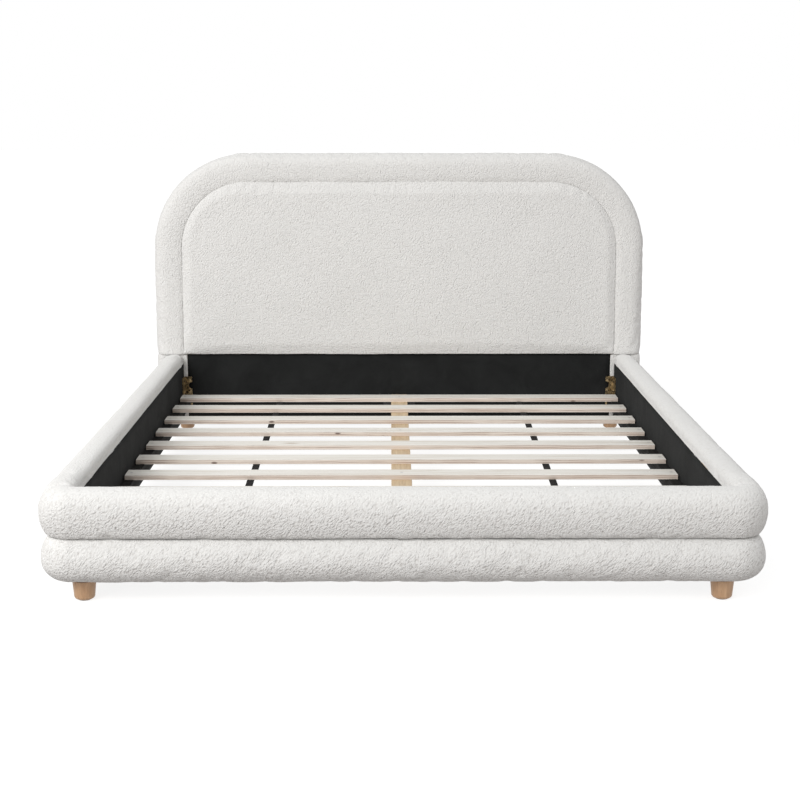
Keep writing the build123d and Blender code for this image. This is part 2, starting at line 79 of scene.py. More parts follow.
# ---- sizes that only the looks need ----
GRID = 0.012  # spacing of the rolls' mesh before it is subdivided
FINE_GRID = 0.0085  # spacing of the headboard's mesh, which is subdivided once less
NUB_SIZE = 0.0075  # of the nubs that are in the mesh
NUB_STRETCH = 2.2
PINCH = 0.059  # from the inner face out to where the two rolls press on each other
RAIL_TAPER = 0.10  # how much the side rolls are squeezed towards the headboard
SEAM_DEPTH = -0.0125  # of the seam round the headboard's cushion, from the lining's face
TUCK = 0.004  # how far the cushion's edge reaches under the border roll
EDGE_STEPS = [0, 2.5 * MM, 6 * MM, 11 * MM, 18 * MM]  # closer rows near the cushion's edge
END_TUCK = 5 * MM  # how far a cover is drawn in at its end
SEED = 7


# ---- small tools ----
def wobble(place, size, seed=0.0):
    """Smooth noise between about -1 and 1 that changes over the given size."""
    return noise.noise(Vector(place) / size + Vector((seed, seed * 1.7, seed * 2.3)))


def smooth_step(value, low, high):
    """0 up to low and 1 from high on, with a soft rise between them."""
    share = min(max((value - low) / (high - low), 0.0), 1.0)
    return share * share * (3 - 2 * share)


def make_object(name, points, faces):
    """A smooth-shaded mesh object in the scene."""
    mesh = bpy.data.meshes.new(name)
    mesh.from_pydata([tuple(p) for p in points], [], faces)
    mesh.validate()
    obj = bpy.data.objects.new(name, mesh)
    bpy.context.scene.collection.objects.link(obj)
    for face in mesh.polygons:
        face.use_smooth = True
    return obj


def replace_mesh(obj, mesh):
    """Give the object this mesh in place of its own mesh and modifiers."""
    old = obj.data
    obj.modifiers.clear()
    obj.data = mesh
    bpy.data.meshes.remove(old)
    for face in mesh.polygons:
        face.use_smooth = True


def evaluated_copy(obj):
    """The object's mesh with its modifiers applied."""
    graph = bpy.context.evaluated_depsgraph_get()
    return bpy.data.meshes.new_from_object(obj.evaluated_get(graph), depsgraph=graph)


def subdivide(obj, levels=1):
    modifier = obj.modifiers.new("subdivision", "SUBSURF")
    modifier.levels = levels
    modifier.render_levels = levels
    replace_mesh(obj, evaluated_copy(obj))


def merge_doubles(obj, distance=0.1 * MM):
    modifier = obj.modifiers.new("weld", "WELD")
    modifier.merge_threshold = distance
    replace_mesh(obj, evaluated_copy(obj))


def read_points(mesh):
    flat = np.empty(len(mesh.vertices) * 3)
    mesh.vertices.foreach_get("co", flat)
    return flat.reshape(-1, 3)


def read_normals(mesh):
    flat = np.empty(len(mesh.vertices) * 3)
    mesh.vertices.foreach_get("normal", flat)
    return flat.reshape(-1, 3)


def write_points(mesh, points):
    mesh.vertices.foreach_set("co", np.asarray(points).ravel())
    mesh.update()


CLOTH_STEPS = 16
CLOTH_PRESSURE = 4.0


def inflate(obj, is_pinned, cap, spare=0.02):
    """Blow the cover up as cloth with a share of spare length, held where is_pinned says.

    Each point stays within cap of its start.
    """
    start = read_points(obj.data)
    group = obj.vertex_groups.new(name="held")
    held = [i for i, p in enumerate(start) if is_pinned(p)]
    group.add(held, 1.0, "REPLACE")
    cloth = obj.modifiers.new("cloth", "CLOTH")
    settings = cloth.settings
    settings.quality = 4
    settings.mass = 0.2
    settings.vertex_group_mass = group.name
    settings.use_pressure = True
    settings.uniform_pressure_force = CLOTH_PRESSURE
    settings.tension_stiffness = 12
    settings.compression_stiffness = 12
    settings.shear_stiffness = 6
    settings.bending_stiffness = 0.4
    settings.shrink_min = -spare
    settings.effector_weights.gravity = 0
    cloth.collision_settings.use_collision = False
    cloth.collision_settings.use_self_collision = False
    scene = bpy.context.scene
    for step in range(1, CLOTH_STEPS + 1):
        scene.frame_set(step)
    moved = evaluated_copy(obj)
    move = read_points(moved) - start
    bpy.data.meshes.remove(moved)
    length = np.linalg.norm(move, axis=1, keepdims=True)
    almost_nothing = 1e-9
    move *= np.minimum(1.0, cap / np.maximum(length, almost_nothing))
    obj.modifiers.clear()
    obj.vertex_groups.clear()
    scene.frame_set(1)
    write_points(obj.data, start + move)


def curl(place, size, seed):
    """Height of the crooked slantwise nubs of the yarn, from -1 in a hollow between nubs to about 1."""
    x, y, z = place
    along = (x + 0.5 * y + z) / (1.5 * size * NUB_STRETCH)
    across = Vector((along, (x - z) / (1.4 * size), (y - 0.5 * x) / (1.1 * size)))
    bend = noise.noise(across * 0.35 + Vector((seed, 0, 0)))
    return 3.2 * abs(noise.noise(across + Vector((bend, 2 * bend, seed)))) - 1


LUMP_SIZE = 0.11


def roughen(obj, lump, nub, seed):
    """Move the surface in and out a little: broad lumps of the filling and the small nubs of the yarn."""
    mesh = obj.data
    points = read_points(mesh)
    normals = read_normals(mesh)
    shift = np.array([lump * wobble(p, LUMP_SIZE, seed) + nub * curl(p, NUB_SIZE, seed) for p in points])
    write_points(mesh, points + normals * shift[:, None])


# ---- sections and lofts ----
def quarter(centre, from_radius, to_radius, power, count):
    """Points of a rounded quarter that leaves along from_radius and arrives along to_radius."""
    points = []
    for i in range(1, count + 1):
        angle = math.pi / 2 * i / count
        a = math.cos(angle) ** (2 / power)
        b = math.sin(angle) ** (2 / power)
        points.append(centre + Vector(from_radius) * a + Vector(to_radius) * b)
    return points


def straight(start, end, spacing=GRID):
    """Points after start, up to and including end."""
    start, end = Vector(start), Vector(end)
    count = max(1, round((end - start).length / spacing))
    return [start.lerp(end, i / count) for i in range(1, count + 1)]


def upper_section():
    """Upper roll: u runs outwards from the inner face and v is height."""
    bulge = RAIL_TOP - 59 * MM  # height of the widest place
    top_u = 34 * MM  # where the flat top ends
    inner_round = Vector((25 * MM, 20 * MM))
    band_bottom = LINING_TOP - 3 * MM
    band_front = -0.6 * MM
    hold = 1.2 * MM
    points = [Vector((band_front + hold, band_bottom)), Vector((band_front, band_bottom + hold))]
    points += straight(points[-1], (band_front, RAIL_TOP - inner_round.y), 7 * MM)
    inner_centre = Vector((inner_round.x, RAIL_TOP - inner_round.y))
    points += quarter(inner_centre, (band_front - inner_round.x, 0), (0, inner_round.y), 2.1, 5)
    points += straight(points[-1], (top_u, RAIL_TOP))
    points += quarter(Vector((top_u, bulge)), (0, RAIL_TOP - bulge), (RAIL_WIDTH - top_u, 0), 2.25, 9)
    points += quarter(Vector((PINCH, bulge)), (RAIL_WIDTH - PINCH, 0), (0, ROLL_SEAM - bulge), 1.95, 8)
    points += straight(points[-1], (POCKET, ROLL_SEAM), GRID * 2)
    points += straight(points[-1], (POCKET, band_bottom), GRID * 2)
    return points


def lower_section():
    """Lower roll: it tucks under the board's edge."""
    bulge = RAIL_BOTTOM + 54 * MM  # height of the widest place
    bottom_u = 30 * MM  # where the flat bottom ends
    points = [Vector((POCKET, RAIL_BOTTOM + 1.5 * MM))]
    points += straight(points[-1], (POCKET, ROLL_SEAM), GRID * 2)
    points += straight(points[-1], (PINCH, ROLL_SEAM), GRID * 2)
    points += quarter(Vector((PINCH, bulge)), (0, ROLL_SEAM - bulge), (RAIL_WIDTH - PINCH, 0), 1.88, 8)
    points += quarter(Vector((bottom_u, bulge)), (RAIL_WIDTH - bottom_u, 0), (0, RAIL_BOTTOM - bulge), 2.05, 9)
    points += straight(points[-1], (POCKET + 4 * MM, RAIL_BOTTOM))
    return points


def loft(name, rings):
    """A closed tube through rings of equal length, with flat ends."""
    count = len(rings[0])
    points = [p for ring in rings for p in ring]
    faces = []
    for i in range(len(rings) - 1):
        for j in range(count):
            k = (j + 1) % count
            faces.append((i * count + j, i * count + k, (i + 1) * count + k, (i + 1) * count + j))
    for base, ring in ((0, rings[0]), ((len(rings) - 1) * count, rings[-1])):
        faces += [tuple(base + i for i in corner) for corner in tessellate_polygon([ring])]
    return make_object(name, points, faces)


def face_outwards(obj):
    """Turn the faces so that the normals point out of the closed mesh."""
    bpy.context.view_layer.objects.active = obj
    obj.select_set(True)
    bpy.ops.object.mode_set(mode="EDIT")
    bpy.ops.mesh.select_all(action="SELECT")
    bpy.ops.mesh.normals_make_consistent(inside=False)
    bpy.ops.object.mode_set(mode="OBJECT")
    obj.select_set(False)


def shares(length, spacing=GRID):
    """Even steps from 0 to 1, with closer ones near both ends for a soft turn-in."""
    count = max(2, round(length / spacing))
    steps = [0.0, 0.25, 0.6, *range(1, count), count - 0.6, count - 0.25, count]
    return [s / count for s in steps]


def tucked(section, is_visible, amount):
    """The section with its visible points drawn in, as where a cover turns in at its end."""
    middle = sum(section, Vector((0, 0))) / len(section)
    result = []
    for p in section:
        pull = (middle - p).normalized() * amount if is_visible(p) else Vector((0, 0))
        result.append(p + pull)
    return result


def rail_visible(p):
    return p.x > POCKET + 2 * MM or p.y > LINING_TOP + 2 * MM


def end_tuck(distance):
    """How far a roll's cover is drawn in at this distance from its end."""
    tuck_length = 14 * MM
    return END_TUCK * (1 - smooth_step(distance, 0, tuck_length)) ** 2


def seam_wave(place, seed):
    """How far the seam between the two rolls strays up or down: a long wave and a short one."""
    return 1.3 * MM * wobble(place, 0.17, seed) + 0.5 * MM * wobble(place, 0.04, seed + 5)


def wave_seam(point, place):
    """Shift a roll's point up or down where it lies by the seam between the two rolls."""
    reach = 30 * MM
    near = 1 - smooth_step(abs(point.z - ROLL_SEAM), 0.0, reach)
    point.z += near * seam_wave(place, SEED)
    return point


def side_rail(name, section):
    """One roll of the right rail, from the footboard to the headboard."""
    length = RAIL_HEAD_Y - FOOT_Y
    rings = []
    for share in shares(length):
        y = FOOT_Y + share * length
        head_tuck = 2.2 * end_tuck((1 - share) * length)
        shape = tucked(section, rail_visible, end_tuck(share * length) + head_tuck)
        slim = 1 - RAIL_TAPER * share
        ring = []
        for p in shape:
            u = POCKET + (p.x - POCKET) * slim if p.x > POCKET else p.x
            ring.append(wave_seam(Vector((INNER_X + u, y, p.y)), (1.0, y, 0)))
        rings.append(ring)
    return loft(name, rings)


def footboard_roll(name, section):
    """One roll along the footboard, turning both corners about the inner corners of the rails."""
    straight_count = round(2 * INNER_X / GRID)
    corner_count = 13
    quarter_turn = math.pi / 2
    stations = []
    for i in range(corner_count):
        angle = quarter_turn * i / corner_count
        stations.append((Vector((-INNER_X, FOOT_Y, 0)), Vector((-math.cos(angle), -math.sin(angle), 0))))
    for i in range(straight_count + 1):
        x = -INNER_X + 2 * INNER_X * i / straight_count
        stations.append((Vector((x, FOOT_Y, 0)), Vector((0, -1, 0))))
    for i in range(1, corner_count + 1):
        angle = quarter_turn * i / corner_count
        stations.append((Vector((INNER_X, FOOT_Y, 0)), Vector((math.sin(angle), -math.cos(angle), 0))))
    rings = []
    last = len(stations) - 1
    for i, (base, outwards) in enumerate(stations):
        from_end = min(i, last - i) * RAIL_WIDTH * quarter_turn / corner_count
        shape = tucked(section, rail_visible, end_tuck(from_end))
        ring = []
        for p in shape:
            point = base + outwards * p.x + Vector((0, 0, p.y))
            ring.append(wave_seam(point, base + outwards * 0.2))
        rings.append(ring)
    return loft(name, rings)


def mirrored(obj, name):
    """A mirror image on the other side of the bed."""
    points = read_points(obj.data)
    points[:, 0] *= -1
    faces = [tuple(face.vertices)[::-1] for face in obj.data.polygons]
    return make_object(name, points, faces)


# ---- headboard ----
def arch_station(distance, inset):
    """Place and outward direction at a distance along the arch, drawn in by inset."""
    leg = HEAD_TOP - HEAD_RADIUS - RAIL_TOP
    bend = HEAD_RADIUS * math.pi / 2
    across = 2 * (HALF_WIDTH - HEAD_RADIUS)
    centre_x = HALF_WIDTH - HEAD_RADIUS
    centre_z = HEAD_TOP - HEAD_RADIUS
    total = 2 * leg + 2 * bend + across
    mirror_x = 1
    if distance > total / 2:
        distance = total - distance
        mirror_x = -1
    if distance < leg:
        place, out = Vector((HALF_WIDTH, 0, RAIL_TOP + distance)), Vector((1, 0, 0))
    elif distance < leg + bend:
        angle = (distance - leg) / HEAD_RADIUS
        out = Vector((math.cos(angle), 0, math.sin(angle)))
        place = Vector((centre_x, 0, centre_z)) + out * HEAD_RADIUS
    else:
        place, out = Vector((centre_x - (distance - leg - bend), 0, HEAD_TOP)), Vector((0, 0, 1))
    place -= out * inset
    place.x *= mirror_x
    return place


def arch_length():
    leg = HEAD_TOP - HEAD_RADIUS - RAIL_TOP
    return 2 * leg + HEAD_RADIUS * math.pi + 2 * (HALF_WIDTH - HEAD_RADIUS)


def border_section():
    """The border roll: x is the inset from the arch and y is the depth behind the lining's face."""
    front = border_low.y - HEAD_Y
    back = border_high.y - HEAD_Y
    crown = 50 * MM  # inset of the roll's highest line
    outer_depth = 26 * MM
    back_round = 14 * MM
    panel_depth = panel_low.y - HEAD_Y - 0.3 * MM
    pocket = PANEL_INSET - 0.3 * MM
    points = [Vector((BORDER_WIDTH, panel_depth)), Vector((BORDER_WIDTH, SEAM_DEPTH))]
    points += quarter(Vector((crown, SEAM_DEPTH)), (BORDER_WIDTH - crown, 0), (0, front - SEAM_DEPTH), 2.0, 7)
    points += quarter(Vector((crown, outer_depth)), (0, front - outer_depth), (-crown, 0), 2.3, 9)
    points += straight(points[-1], (0, back - back_round))
    points += quarter(Vector((back_round, back - back_round)), (-back_round, 0), (0, back_round), 2, 3)
    points += straight(points[-1], (pocket, back))
    points += straight(points[-1], (pocket, panel_depth), GRID * 2)
    points += straight(points[-1], (BORDER_WIDTH - 2 * MM, panel_depth), GRID * 2)
    return points


def border_visible(p):
    return p.y < 0 or p.x < PANEL_INSET - 2 * MM


def make_border():
    section = border_section()
    length = arch_length()
    rings = []
    for share in shares(length, FINE_GRID):
        distance = share * length
        from_end = min(distance, length - distance)
        shape = tucked(section, border_visible, 0.6 * end_tuck(from_end))
        ring = []
        for p in shape:
            point = arch_station(distance, p.x)
            point.y = HEAD_Y + p.y
            ring.append(point)
        rings.append(ring)
    return loft("headboard_border", rings)


def arch_reach(z, half, top, radius):
    """Half an arch's width at a height."""
    if z < top - radius:
        return half
    return half - radius + math.sqrt(max(radius**2 - (z - top + radius) ** 2, 0))


def arch_distance(x, z, half, top, radius, bottom):
    """How far a point inside an arch is from its outline."""
    side = half - abs(x)
    if abs(x) > half - radius and z > top - radius:
        side = radius - math.hypot(abs(x) - half + radius, z - top + radius)
        return min(side, z - bottom)
    return min(side, top - z, z - bottom)


def grid_faces(wide, high):
    """Quads of a grid of points, row by row."""
    starts = [r * wide + c for r in range(high - 1) for c in range(wide - 1)]
    return [(a, a + 1, a + wide + 1, a + wide) for a in starts]


def cushion_rows(bottom, top, radius):
    """Heights of the cushion's rows: closer near the bottom edge and round the top corners."""
    rows = [bottom + e for e in EDGE_STEPS]
    rows += [p.x for p in straight((rows[-1], 0), (top - radius, 0), FINE_GRID)]
    steps = round(radius * math.pi / 2 / FINE_GRID)
    rows += [top - radius + radius * math.sin(math.pi / 2 * i / steps) for i in range(1, steps + 1)]
    return rows


def make_cushion():
    """The crowned inner panel, as a grid that follows the arch, with a flat back."""
    half, top = cushion_high.x + TUCK, cushion_high.z + TUCK
    bottom = cushion_low.z + 0.5 * MM
    radius = HEAD_RADIUS - BORDER_WIDTH + TUCK
    front, back = cushion_low.y, cushion_high.y
    seam_y = HEAD_Y + SEAM_DEPTH + 0.5 * MM
    edge_width = 0.03  # as a share of the half width
    inner = straight((-1 + edge_width, 0), (1 - edge_width, 0), FINE_GRID / half)
    columns = [-1 + e / EDGE_STEPS[-1] * edge_width for e in EDGE_STEPS]
    columns += [p.x for p in inner[:-1]] + [1 - e / EDGE_STEPS[-1] * edge_width for e in reversed(EDGE_STEPS)]
    rows = cushion_rows(bottom, top, radius)
    edge_round, crown_reach = 0.030, 0.26
    front_points = []
    for z in rows:
        reach = arch_reach(z, half, top, radius)
        for c in columns:
            x = c * reach
            inset = max(arch_distance(x, z, half, top, radius, bottom), 0)
            rise = 1 - (1 - min(inset / edge_round, 1)) ** 2.6
            crown = 1 - 0.30 * (1 - smooth_step(inset, 0, crown_reach))
            y = seam_y + (front - seam_y) * rise**0.75 * crown
            front_points.append(Vector((x, y, z)))
    wide, high = len(columns), len(rows)
    faces = grid_faces(wide, high)
    rim = list(range(wide))
    rim += [r * wide + wide - 1 for r in range(1, high)]
    rim += [(high - 1) * wide + c for c in range(wide - 2, -1, -1)]
    rim += [r * wide for r in range(high - 2, 0, -1)]
    base = len(front_points)
    back_rim = [Vector((front_points[a].x, back, front_points[a].z)) for a in rim]
    for i, a in enumerate(rim):
        k = (i + 1) % len(rim)
        faces.append((a, base + i, base + k, rim[k]))
    faces += [tuple(base + i for i in corner) for corner in tessellate_polygon([back_rim])]
    return make_object("headboard_cushion_cover", front_points + back_rim, faces)


def make_side_cover():
    """The thin padded cover of the headboard's lower part, on the right."""
    inner_x, front = cover_low.x, cover_low.y
    outer_x, back = cover_high.x, cover_high.y
    panel_y = panel_low.y - 0.3 * MM
    pocket_x = panel_high.x + 0.3 * MM
    front_round, back_round, strip_round = 22 * MM, 14 * MM, 2.5 * MM
    points = [Vector((inner_x, panel_y)), Vector((inner_x, front + strip_round))]
    strip_centre = Vector((inner_x + strip_round, front + strip_round))
    points += quarter(strip_centre, (-strip_round, 0), (0, -strip_round), 2, 2)
    points += straight(points[-1], (outer_x - front_round, front))
    front_centre = Vector((outer_x - front_round, front + front_round))
    points += quarter(front_centre, (0, -front_round), (front_round, 0), 2, 4)
    points += straight(points[-1], (outer_x, back - back_round))
    back_centre = Vector((outer_x - back_round, back - back_round))
    points += quarter(back_centre, (back_round, 0), (0, back_round), 2, 3)
    points += straight(points[-1], (pocket_x, back))
    points += straight(points[-1], (pocket_x, panel_y), GRID * 2)
    points += straight(points[-1], (inner_x + 3 * MM, panel_y), GRID * 2)
    height = cover_high.z - cover_low.z
    rings = []
    for share in shares(height):
        z = cover_low.z + share * height
        tuck = 0.4 * end_tuck(min(share, 1 - share) * height)
        shape = tucked(points, lambda p: p.y < panel_y - 1 * MM or p.x > pocket_x + 1 * MM, tuck)
        rings.append([Vector((p.x, p.y, z)) for p in shape])
    return loft("side_cover_right", rings)


# ---- finishing one soft piece ----
def finish_soft(obj, node, material, seed, lump=1.0 * MM, nub=0.28 * MM, levels=2):
    """Subdivide, roughen and paint a cover, and let it stand for its CAD solid."""
    face_outwards(obj)
    subdivide(obj, levels)
    roughen(obj, lump, nub, seed)
    obj.data.materials.append(material)
    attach(obj, BODY)
    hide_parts(node)


# ---- materials ----
class Paint:
    """One procedural material: a Principled shader with nodes added by name."""

    def __init__(self, name, **constants):
        self.material = bpy.data.materials.new(name)
        self.material.use_nodes = True
        self.tree = self.material.node_tree
        self.tree.nodes.clear()
        self.shader = self.add("ShaderNodeBsdfPrincipled")
        output = self.add("ShaderNodeOutputMaterial")
        self.tree.links.new(self.shader.outputs[0], output.inputs[0])
        for key, value in constants.items():
            self.shader.inputs[key.replace("_", " ")].default_value = value
        self.place = self.add("ShaderNodeTexCoord").outputs["Object"]

    def add(self, kind, inputs=None, **settings):
        node = self.tree.nodes.new(kind)
        for key, value in settings.items():
            setattr(node, key, value)
        for key, value in (inputs or {}).items():
            if isinstance(value, bpy.types.NodeSocket):
                self.tree.links.new(value, node.inputs[key])
            else:
                node.inputs[key].default_value = value
        return node

    def stretched(self, sizes, turn=(0, 0, 0), place=None):
        """The surface's place measured in cells of these sizes, which stand turned in the object's frame."""
        node = self.add("ShaderNodeMapping", {0: place or self.place}, vector_type="TEXTURE")
        node.inputs["Rotation"].default_value = turn
        node.inputs["Scale"].default_value = sizes
        return node.outputs[0]

    def noise(self, scale, detail=2.0, roughness=0.5, distortion=0.0, place=None):
        node = self.add(
            "ShaderNodeTexNoise",
            {
                "Vector": place or self.place,
                "Scale": scale,
                "Detail": detail,
                "Roughness": roughness,
                "Distortion": distortion,
            },
        )
        return node.outputs["Fac"]

    def cells(self, scale, feature="SMOOTH_F1", place=None, randomness=1.0):
        inputs = {"Vector": place or self.place, "Scale": scale, "Randomness": randomness}
        node = self.add("ShaderNodeTexVoronoi", inputs, feature=feature)
        return node.outputs["Distance"]

    def math(self, operation, a, b=0.0, clamp=False):
        node = self.add("ShaderNodeMath", {0: a, 1: b}, operation=operation, use_clamp=clamp)
        return node.outputs[0]

    def ramp(self, value, *stops):
        """A colour ramp: each stop is a position and a linear grey or colour."""
        node = self.add("ShaderNodeValToRGB", {0: value})
        elements = node.color_ramp.elements
        while len(elements) < len(stops):
            elements.new(0.5)
        for element, (position, colour) in zip(elements, stops):
            element.position = position
            if isinstance(colour, (int, float)):
                colour = (colour, colour, colour)
            element.color = (*colour, 1)
        return node.outputs[0]

    def mix(self, share, a, b, blend="MIX"):
        node = self.add("ShaderNodeMix", data_type="RGBA", blend_type=blend)
        for index, value in ((0, share), (6, a), (7, b)):
            if isinstance(value, bpy.types.NodeSocket):
                self.tree.links.new(value, node.inputs[index])
            elif index == 0:
                node.inputs[0].default_value = value
            else:
                node.inputs[index].default_value = (*value, 1)
        return node.outputs[2]

    def colour(self, value):
        self.tree.links.new(value, self.shader.inputs["Base Color"])

    def rough(self, value):
        self.tree.links.new(value, self.shader.inputs["Roughness"])

    def bump(self, height, depth, strength=1.0, below=None):
        inputs = {"Height": height, "Distance": depth, "Strength": strength}
        if below is not None:
            inputs["Normal"] = below
        node = self.add("ShaderNodeBump", inputs)
        self.tree.links.new(node.outputs[0], self.shader.inputs["Normal"])
        return node.outputs[0]


# Yarn: width and length of a nub, depth of the relief, how far faces that look up are pressed flat by wear and
# lose painted shade as painted top light, the nubs' slant and the painted shade colour of the hollows between
# nubs, much darker for the rolls than for the headboard
ROLL_CLOTH = {"width": 2.6 * MM, "length": 4.4 * MM, "depth": 7.0 * MM, "worn_and_top_lit": 0.6}
ROLL_CLOTH.update(turn=(0, math.radians(-49), math.radians(20)), crevice=(0.52, 0.495, 0.47))
HEAD_CLOTH = {"width": 2.7 * MM, "length": 3.6 * MM, "depth": 6.0 * MM, "worn_and_top_lit": 0.4}
HEAD_CLOTH.update(turn=(0, math.radians(-75), math.radians(10)), crevice=(0.735, 0.727, 0.71))
STRAND_SHARE, NUB_SHARE, YARN_SHARE = 0.35, 0.8, 0.10
WOOL, PALE_WOOL, TOP_LIT_WOOL = (0.755, 0.745, 0.727), (0.775, 0.772, 0.76), (0.762, 0.758, 0.742)


def boucle(name, width, length, turn, depth, worn_and_top_lit, crevice):
    """Curly boucle yarn: short slantwise nubs with hollows between, pressed flatter on faces that look up. The
    hollows get painted shade, which is weaker on faces that look up as painted top light.
    """
    paint = Paint(name, Roughness=0.95, Sheen_Weight=0.25, Sheen_Roughness=0.6)
    paint.shader.inputs["Specular IOR Level"].default_value = 0.12
    drift = paint.add("ShaderNodeTexNoise", {"Vector": paint.place, "Scale": 0.12 / width, "Detail": 1.0})
    middle = (0.5, 0.5, 0.5)
    drift = paint.add("ShaderNodeVectorMath", {0: drift.outputs["Color"], 1: middle}, operation="SUBTRACT")
    drift = paint.add("ShaderNodeVectorMath", {0: drift.outputs[0], "Scale": 3.0 * width}, operation="SCALE")
    bent = paint.add("ShaderNodeVectorMath", {0: paint.place, 1: drift.outputs[0]}, operation="ADD").outputs[0]
    lying = paint.stretched((length, width, width), turn, bent)
    strands = paint.noise(1.0, 0.6, 0.5, 0.0, lying)
    nubs = paint.cells(0.62, place=lying, randomness=0.8)
    nubs = paint.math("SUBTRACT", 1.0, paint.math("MULTIPLY", nubs, nubs), clamp=True)
    yarn = paint.noise(2.2 / width, 2.0, 0.6)
    height = paint.math("MULTIPLY", strands, STRAND_SHARE)
    height = paint.math("ADD", height, paint.math("MULTIPLY", nubs, NUB_SHARE))
    height = paint.math("ADD", height, paint.math("MULTIPLY", yarn, YARN_SHARE))
    normal = paint.add("ShaderNodeTexCoord").outputs["Normal"]
    upwards = paint.add("ShaderNodeSeparateXYZ", {0: normal}).outputs[2]
    upwards = paint.math("ADD", paint.math("MULTIPLY", upwards, 0.5), 0.5)
    # painted top light: faces that look up keep less of the painted shade in the hollows, besides their flatter
    # relief
    pile_and_top_light = paint.ramp(upwards, (0.15, 1.0), (0.55, 1 - 0.5 * worn_and_top_lit), (0.95, 1 - worn_and_top_lit))
    pile_and_top_light = paint.add("ShaderNodeSeparateColor", {0: pile_and_top_light}).outputs[0]
    paint.bump(paint.math("MULTIPLY", height, pile_and_top_light), depth, 1.0)
    # painted shade: the low parts of the yarn's relief are coloured darker, most on faces that look down
    tone = paint.ramp(height, (0.50, crevice), (0.85, WOOL), (1.0, PALE_WOOL))
    tone = paint.mix(pile_and_top_light, TOP_LIT_WOOL, tone)
    broad = paint.ramp(paint.noise(4.5, 2.0), (0.3, 0.975), (0.7, 1.0))
    paint.colour(paint.mix(1.0, tone, broad, "MULTIPLY"))
    return paint.material


def non_woven(name):
    """Black spun-bonded lining: matt, with a fine pressed dot grid, fibres and faint creases, and painted shade
    that darkens the hollows of the creases.
    """
    paint = Paint(name, Roughness=0.9, Sheen_Weight=0.02)
    paint.shader.inputs["Specular IOR Level"].default_value = 0.12
    dots = paint.cells(420, "F1", randomness=0.25)
    fibres = paint.noise(900, 3.0, 0.7, 0.4)
    creases = paint.noise(9, 4.0, 0.6, 0.5)
    base = paint.bump(creases, 6 * MM, 0.5)
    paint.bump(paint.math("ADD", dots, paint.math("MULTIPLY", fibres, 0.4)), 0.3 * MM, 0.7, base)
    # painted shade: the colour follows the creases' relief, darker in their hollows
    tone = paint.ramp(creases, (0.3, (0.011, 0.0115, 0.0115)), (0.7, (0.019, 0.020, 0.020)))
    specks = paint.ramp(fibres, (0.35, 0.8), (0.75, 1.15))
    paint.colour(paint.mix(1.0, tone, specks, "MULTIPLY"))
    return paint.material


def webbing(name):
    """Black woven strap with ribs across it."""
    paint = Paint(name, Roughness=0.85, Sheen_Weight=0.03)
    paint.shader.inputs["Specular IOR Level"].default_value = 0.12
    wave = paint.add("ShaderNodeTexWave", {"Vector": paint.place, "Scale": 160.0, "Distortion": 0.6})
    wave.bands_direction = "Y"
    edge = paint.add("ShaderNodeTexWave", {"Vector": paint.place, "Scale": 220.0})
    edge.bands_direction = "X"
    weave = paint.math("MULTIPLY", wave.outputs["Fac"], edge.outputs["Fac"])
    paint.bump(weave, 0.5 * MM, 0.9)
    paint.colour(paint.ramp(weave, (0.0, (0.007, 0.007, 0.0075)), (1.0, (0.024, 0.024, 0.025))))
    return paint.material


def grain(paint, across, size, distortion):
    """Long wood figure that runs along the axis whose scale is small in across."""
    place = paint.stretched(across)
    figure = paint.noise(size, 4.0, 0.62, distortion, place)
    fine = paint.noise(size * 6, 3.0, 0.7, 0.0, place)
    return figure, fine


def slat_wood(name):
    """Pale laminated slat: a sanded face with long figure and a few knots, and dark glue lines on its edges."""
    paint = Paint(name, Roughness=0.62)
    paint.shader.inputs["Specular IOR Level"].default_value = 0.3
    figure, fine = grain(paint, (20, 1, 1), 42, 1.6)
    face_tones = (0.25, (0.66, 0.605, 0.525)), (0.5, (0.81, 0.785, 0.73)), (0.75, (0.88, 0.865, 0.82))
    face = paint.ramp(figure, *face_tones)
    knots = paint.cells(6.5, "F1", paint.stretched((3, 1, 5)))
    face = paint.mix(paint.ramp(knots, (0.02, 0.75), (0.075, 0.0)), face, (0.30, 0.19, 0.11))
    height = paint.add("ShaderNodeSeparateXYZ", {0: paint.place}).outputs[2]
    slat_low, slat_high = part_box("slat_01")
    rise = paint.math("DIVIDE", paint.math("SUBTRACT", height, slat_low.z), slat_high.z - slat_low.z)
    wave = paint.noise(3.2, 3.0, 0.6)
    rise = paint.math("ADD", paint.math("MULTIPLY", rise, 2.0), paint.math("MULTIPLY", wave, 1.3))
    off_line = paint.math("ABSOLUTE", paint.math("SUBTRACT", paint.math("FRACT", rise), 0.5))
    shown = paint.ramp(paint.noise(9, 2.0, 0.5), (0.40, 0.2), (0.56, 1.0))
    glue = paint.mix(1.0, paint.ramp(off_line, (0.05, 1.0), (0.14, 0.0)), shown, "MULTIPLY")
    edge = paint.ramp(figure, (0.3, (0.60, 0.50, 0.42)), (0.65, (0.78, 0.70, 0.62)))
    edge = paint.mix(glue, edge, (0.27, 0.145, 0.105))
    flecks = paint.cells(24, "F1", paint.stretched((2.5, 1, 1)))
    edge = paint.mix(paint.ramp(flecks, (0.05, 0.85), (0.11, 0.0)), edge, (0.12, 0.065, 0.045))
    normal = paint.add("ShaderNodeNewGeometry").outputs["Normal"]
    upright = paint.math("ABSOLUTE", paint.add("ShaderNodeSeparateXYZ", {0: normal}).outputs[2])
    is_face = paint.ramp(upright, (0.55, 0.0), (0.8, 1.0))
    paint.colour(paint.mix(is_face, edge, face))
    paint.rough(paint.ramp(fine, (0.2, 0.5), (0.8, 0.75)))
    paint.bump(fine, 0.25 * MM, 0.5)
    return paint.material


